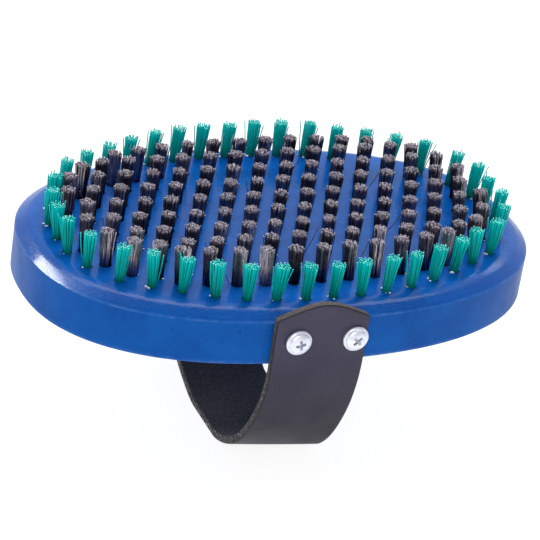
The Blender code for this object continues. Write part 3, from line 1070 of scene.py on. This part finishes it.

# %% [markdown]
# ### Four finishes on one band
#
# Leather has two different sides. The grain side, outside, is charcoal, smooth and very
# finely pebbled, and painted darker low in the loop, as painted shade against the bounce
# light of the glowing floor. The flesh side, inside, is darker and matt like suede. Where
# the band was cut, its raw edge shows fibres, and where it bends hardest some of them stand
# out pale. The corner between the grain and the cut is burnished to a thin dark line.
# One piece can carry several materials, because every face has the number of its own.

# %% Make the grain side
leather, tree, shader = start_material("charcoal_leather", Specular_IOR_Level=0.2)
tone = add_ramp(tree, add_noise(tree, 55, 4), [
    (0.3, (0.049, 0.045, 0.078)), (0.7, (0.064, 0.060, 0.098)),
])
# Painted shade: the leather is made darker low in the loop, against the floor's bounce light
painted_low_shade = add_ramp(tree, level_share(tree, 0, block_top), [
    (0.0, (0.27, 0.27, 0.28)), (0.4, (0.44, 0.44, 0.44)), (0.85, (1.0, 1.0, 1.0)),
])
tone = mix_colours(tree, 1.0, tone, painted_low_shade, "MULTIPLY")
fine = add_noise(tree, 1600, 3)
speckle = add_ramp(tree, fine, [(0.3, 0.82), (0.7, 1.0)])
drive(tree, shader, "Base Color", mix_colours(tree, 1.0, tone, speckle, "MULTIPLY"))
sheen = add_ramp(tree, add_noise(tree, 70, 3), [(0.3, 0.46), (0.7, 0.6)])
drive(tree, shader, "Roughness", sheen)
creases = add_bump(tree, add_noise(tree, 220, 3, (1, 0.6, 0.6)), 0.0003, 0.25)
drive(tree, shader, "Normal", add_bump(tree, fine, 0.00012, 0.45, creases))
print("the grain side has", len(tree.nodes), "nodes")

# %% Make the flesh side and the edges
suede_tones = [
    (0.3, (0.026, 0.024, 0.026)), (0.6, (0.049, 0.045, 0.048)), (0.85, (0.1, 0.094, 0.098)),
]
suede = one_pattern(
    "suede_side", 1100, 4, suede_tones, [(0.3, 0.98), (0.8, 0.85)], 0.0003, 0.7,
    Sheen_Weight=0.05, Specular_IOR_Level=0.2,
)

fibres_closed_level = block_bottom + 0.004
fibres_open_level = block_bottom - 0.012
raw_edge, tree, shader = start_material("raw_leather_edge", Specular_IOR_Level=0.3)
fibres = add_noise(tree, 1500, 4)
closed = add_ramp(tree, fibres, [(0.35, (0.045, 0.036, 0.039)), (0.65, (0.1, 0.082, 0.086))])
opened = add_ramp(tree, fibres, [
    (0.4, (0.016, 0.015, 0.016)), (0.54, (0.065, 0.061, 0.065)), (0.66, (0.25, 0.235, 0.24)),
])
at_bend = level_share(tree, fibres_closed_level, fibres_open_level)
drive(tree, shader, "Base Color", mix_colours(tree, at_bend, closed, opened))
drive(tree, shader, "Roughness", add_ramp(tree, fibres, [(0.3, 0.95), (0.7, 0.8)]))
drive(tree, shader, "Normal", add_bump(tree, fibres, 0.0004, 0.8))

dark_line = one_pattern(
    "burnished_corner", 900, 3, [(0.3, (0.008, 0.007, 0.009)), (0.7, (0.02, 0.018, 0.021))],
    [(0.3, 0.5), (0.7, 0.7)], 0.0001, 0.5, Specular_IOR_Level=0.3,
)

finishes = [leather, suede, raw_edge, dark_line]
strap = make_piece("leather_strap", strap_mesh, finishes, sharp_angle=60)
settle(strap, "strap", "hand_strap")

# %% [markdown]
# ## The screws
#
# Four bright zinc pan-head screws hold the strap. A screw is a turned part, so half of
# its outline is drawn as a chain of edges and spun about its axis. The cross recess is
# cut with two bars that get smaller with depth, as a screwdriver's tip does.

# %% The outline of a screw
head_radius = 0.0045
head_height = 0.0026
shank_radius = 0.0019
screw_length = 0.018
screw_point = 0.004
dome_radius = 0.0039
dome_start = 0.00115
dome_steps = 8
screw_outline = [
    (0, -screw_length), (shank_radius, screw_point - screw_length), (shank_radius, 0),
    (head_radius - 0.0001, 0), (head_radius, 0.00015), (head_radius, 0.0007),
    (0.00435, 0.00095), (0.0041, 0.0011), (dome_radius, dome_start),
]
for step in range(1, dome_steps + 1):
    turn = math.pi / 2 * step / dome_steps
    screw_outline.append((
        dome_radius * math.cos(turn) if step < dome_steps else 0,
        dome_start + (head_height - dome_start) * math.sin(turn),
    ))
print("a screw's outline has", len(screw_outline), "points")


# %% Spin a screw and shape its bit
bar_size = (0.0054, 0.0015, 0.0024)
bar_taper = (0.4, 0.35, 1)
bar_overrun = 0.0001


def spun_screw():
    mesh = bmesh.new()
    points = [mesh.verts.new((radius, 0, height)) for radius, height in screw_outline]
    edges = [mesh.edges.new(pair) for pair in zip(points, points[1:])]
    bmesh.ops.spin(
        mesh, geom=points + edges, cent=(0, 0, 0), axis=(0, 0, 1),
        angle=2 * math.pi, steps=48, use_merge=True,
    )
    bmesh.ops.remove_doubles(mesh, verts=mesh.verts, dist=0.000003)
    return mesh


def recess_bar(turn):
    """One bar of the cross, narrower at its bottom."""
    mesh = bmesh.new()
    bmesh.ops.create_cube(mesh, size=1)
    bmesh.ops.scale(mesh, vec=bar_size, verts=mesh.verts)
    deep = [point for point in mesh.verts if point.co.z < 0]
    bmesh.ops.scale(mesh, vec=bar_taper, verts=deep)
    rise = Matrix.Translation((0, 0, head_height - bar_overrun))
    bmesh.ops.transform(mesh, matrix=Matrix.Rotation(turn, 4, "Z") @ rise, verts=mesh.verts)
    return mesh


# %% Make the zinc
zinc, tree, shader = start_material("bright_zinc", Metallic=0.7)
zinc_tone = add_ramp(tree, add_noise(tree, 500, 3), [
    (0.3, (0.74, 0.76, 0.87)), (0.7, (0.88, 0.9, 0.99)),
])
drive(tree, shader, "Base Color", zinc_tone)
frosting = add_ramp(tree, add_noise(tree, 900, 3), [(0.3, 0.36), (0.7, 0.55)])
drive(tree, shader, "Roughness", frosting)
drive(tree, shader, "Normal", add_bump(tree, add_noise(tree, 1400, 3), 0.0001, 0.3))

# Painted shade: the faces in the cross recess get a darker, greyer zinc
recess_shade_zinc = one_pattern(
    "zinc_with_painted_recess_shade", 1500, 3, [(0.3, (0.4, 0.42, 0.5)), (0.7, (0.85, 0.87, 0.96))],
    [(0.3, 0.5), (0.7, 0.65)], 0.0002, 0.6, Metallic=1.0,
)

# %% Set the screws
recess_reach = 0.0032
recess_shallowest = 0.00012
recess_deepest = 0.0014


def in_recess(middle):
    """Whether a face of the head lies well below the dome's own surface."""
    out = math.hypot(middle.x, middle.y)
    if out > recess_reach:
        return False
    dome = dome_start + (head_height - dome_start) * math.sqrt(1 - (out / dome_radius) ** 2)
    return dome - recess_deepest < middle.z < dome - recess_shallowest


for side, side_name in ((-1, "front"), (1, "back")):
    for x, end_name, turn in zip(screw_places, ("left", "right"), (0.2, 0.75)):
        name = f"zinc_screw_{side_name}_{end_name}"
        screw = make_piece(name, spun_screw(), [zinc], sharp_angle=30)
        for quarter_turn in (0, math.pi / 2):
            cut_away(screw, make_piece("bit", recess_bar(turn + quarter_turn), [zinc]))
        screw.data.materials.append(recess_shade_zinc)
        for face in screw.data.polygons:
            if in_recess(face.center):
                face.material_index = len(screw.data.materials) - 1
        seat = wall_reach(x) + gap + strap_thickness
        stand = Matrix.Rotation(-side * math.pi / 2, 4, "X")
        screw.data.transform(Matrix.Translation((x, side * seat, screw_levels[side])) @ stand)
        settle(screw, "screw", f"screw_{side_name}_{end_name}")
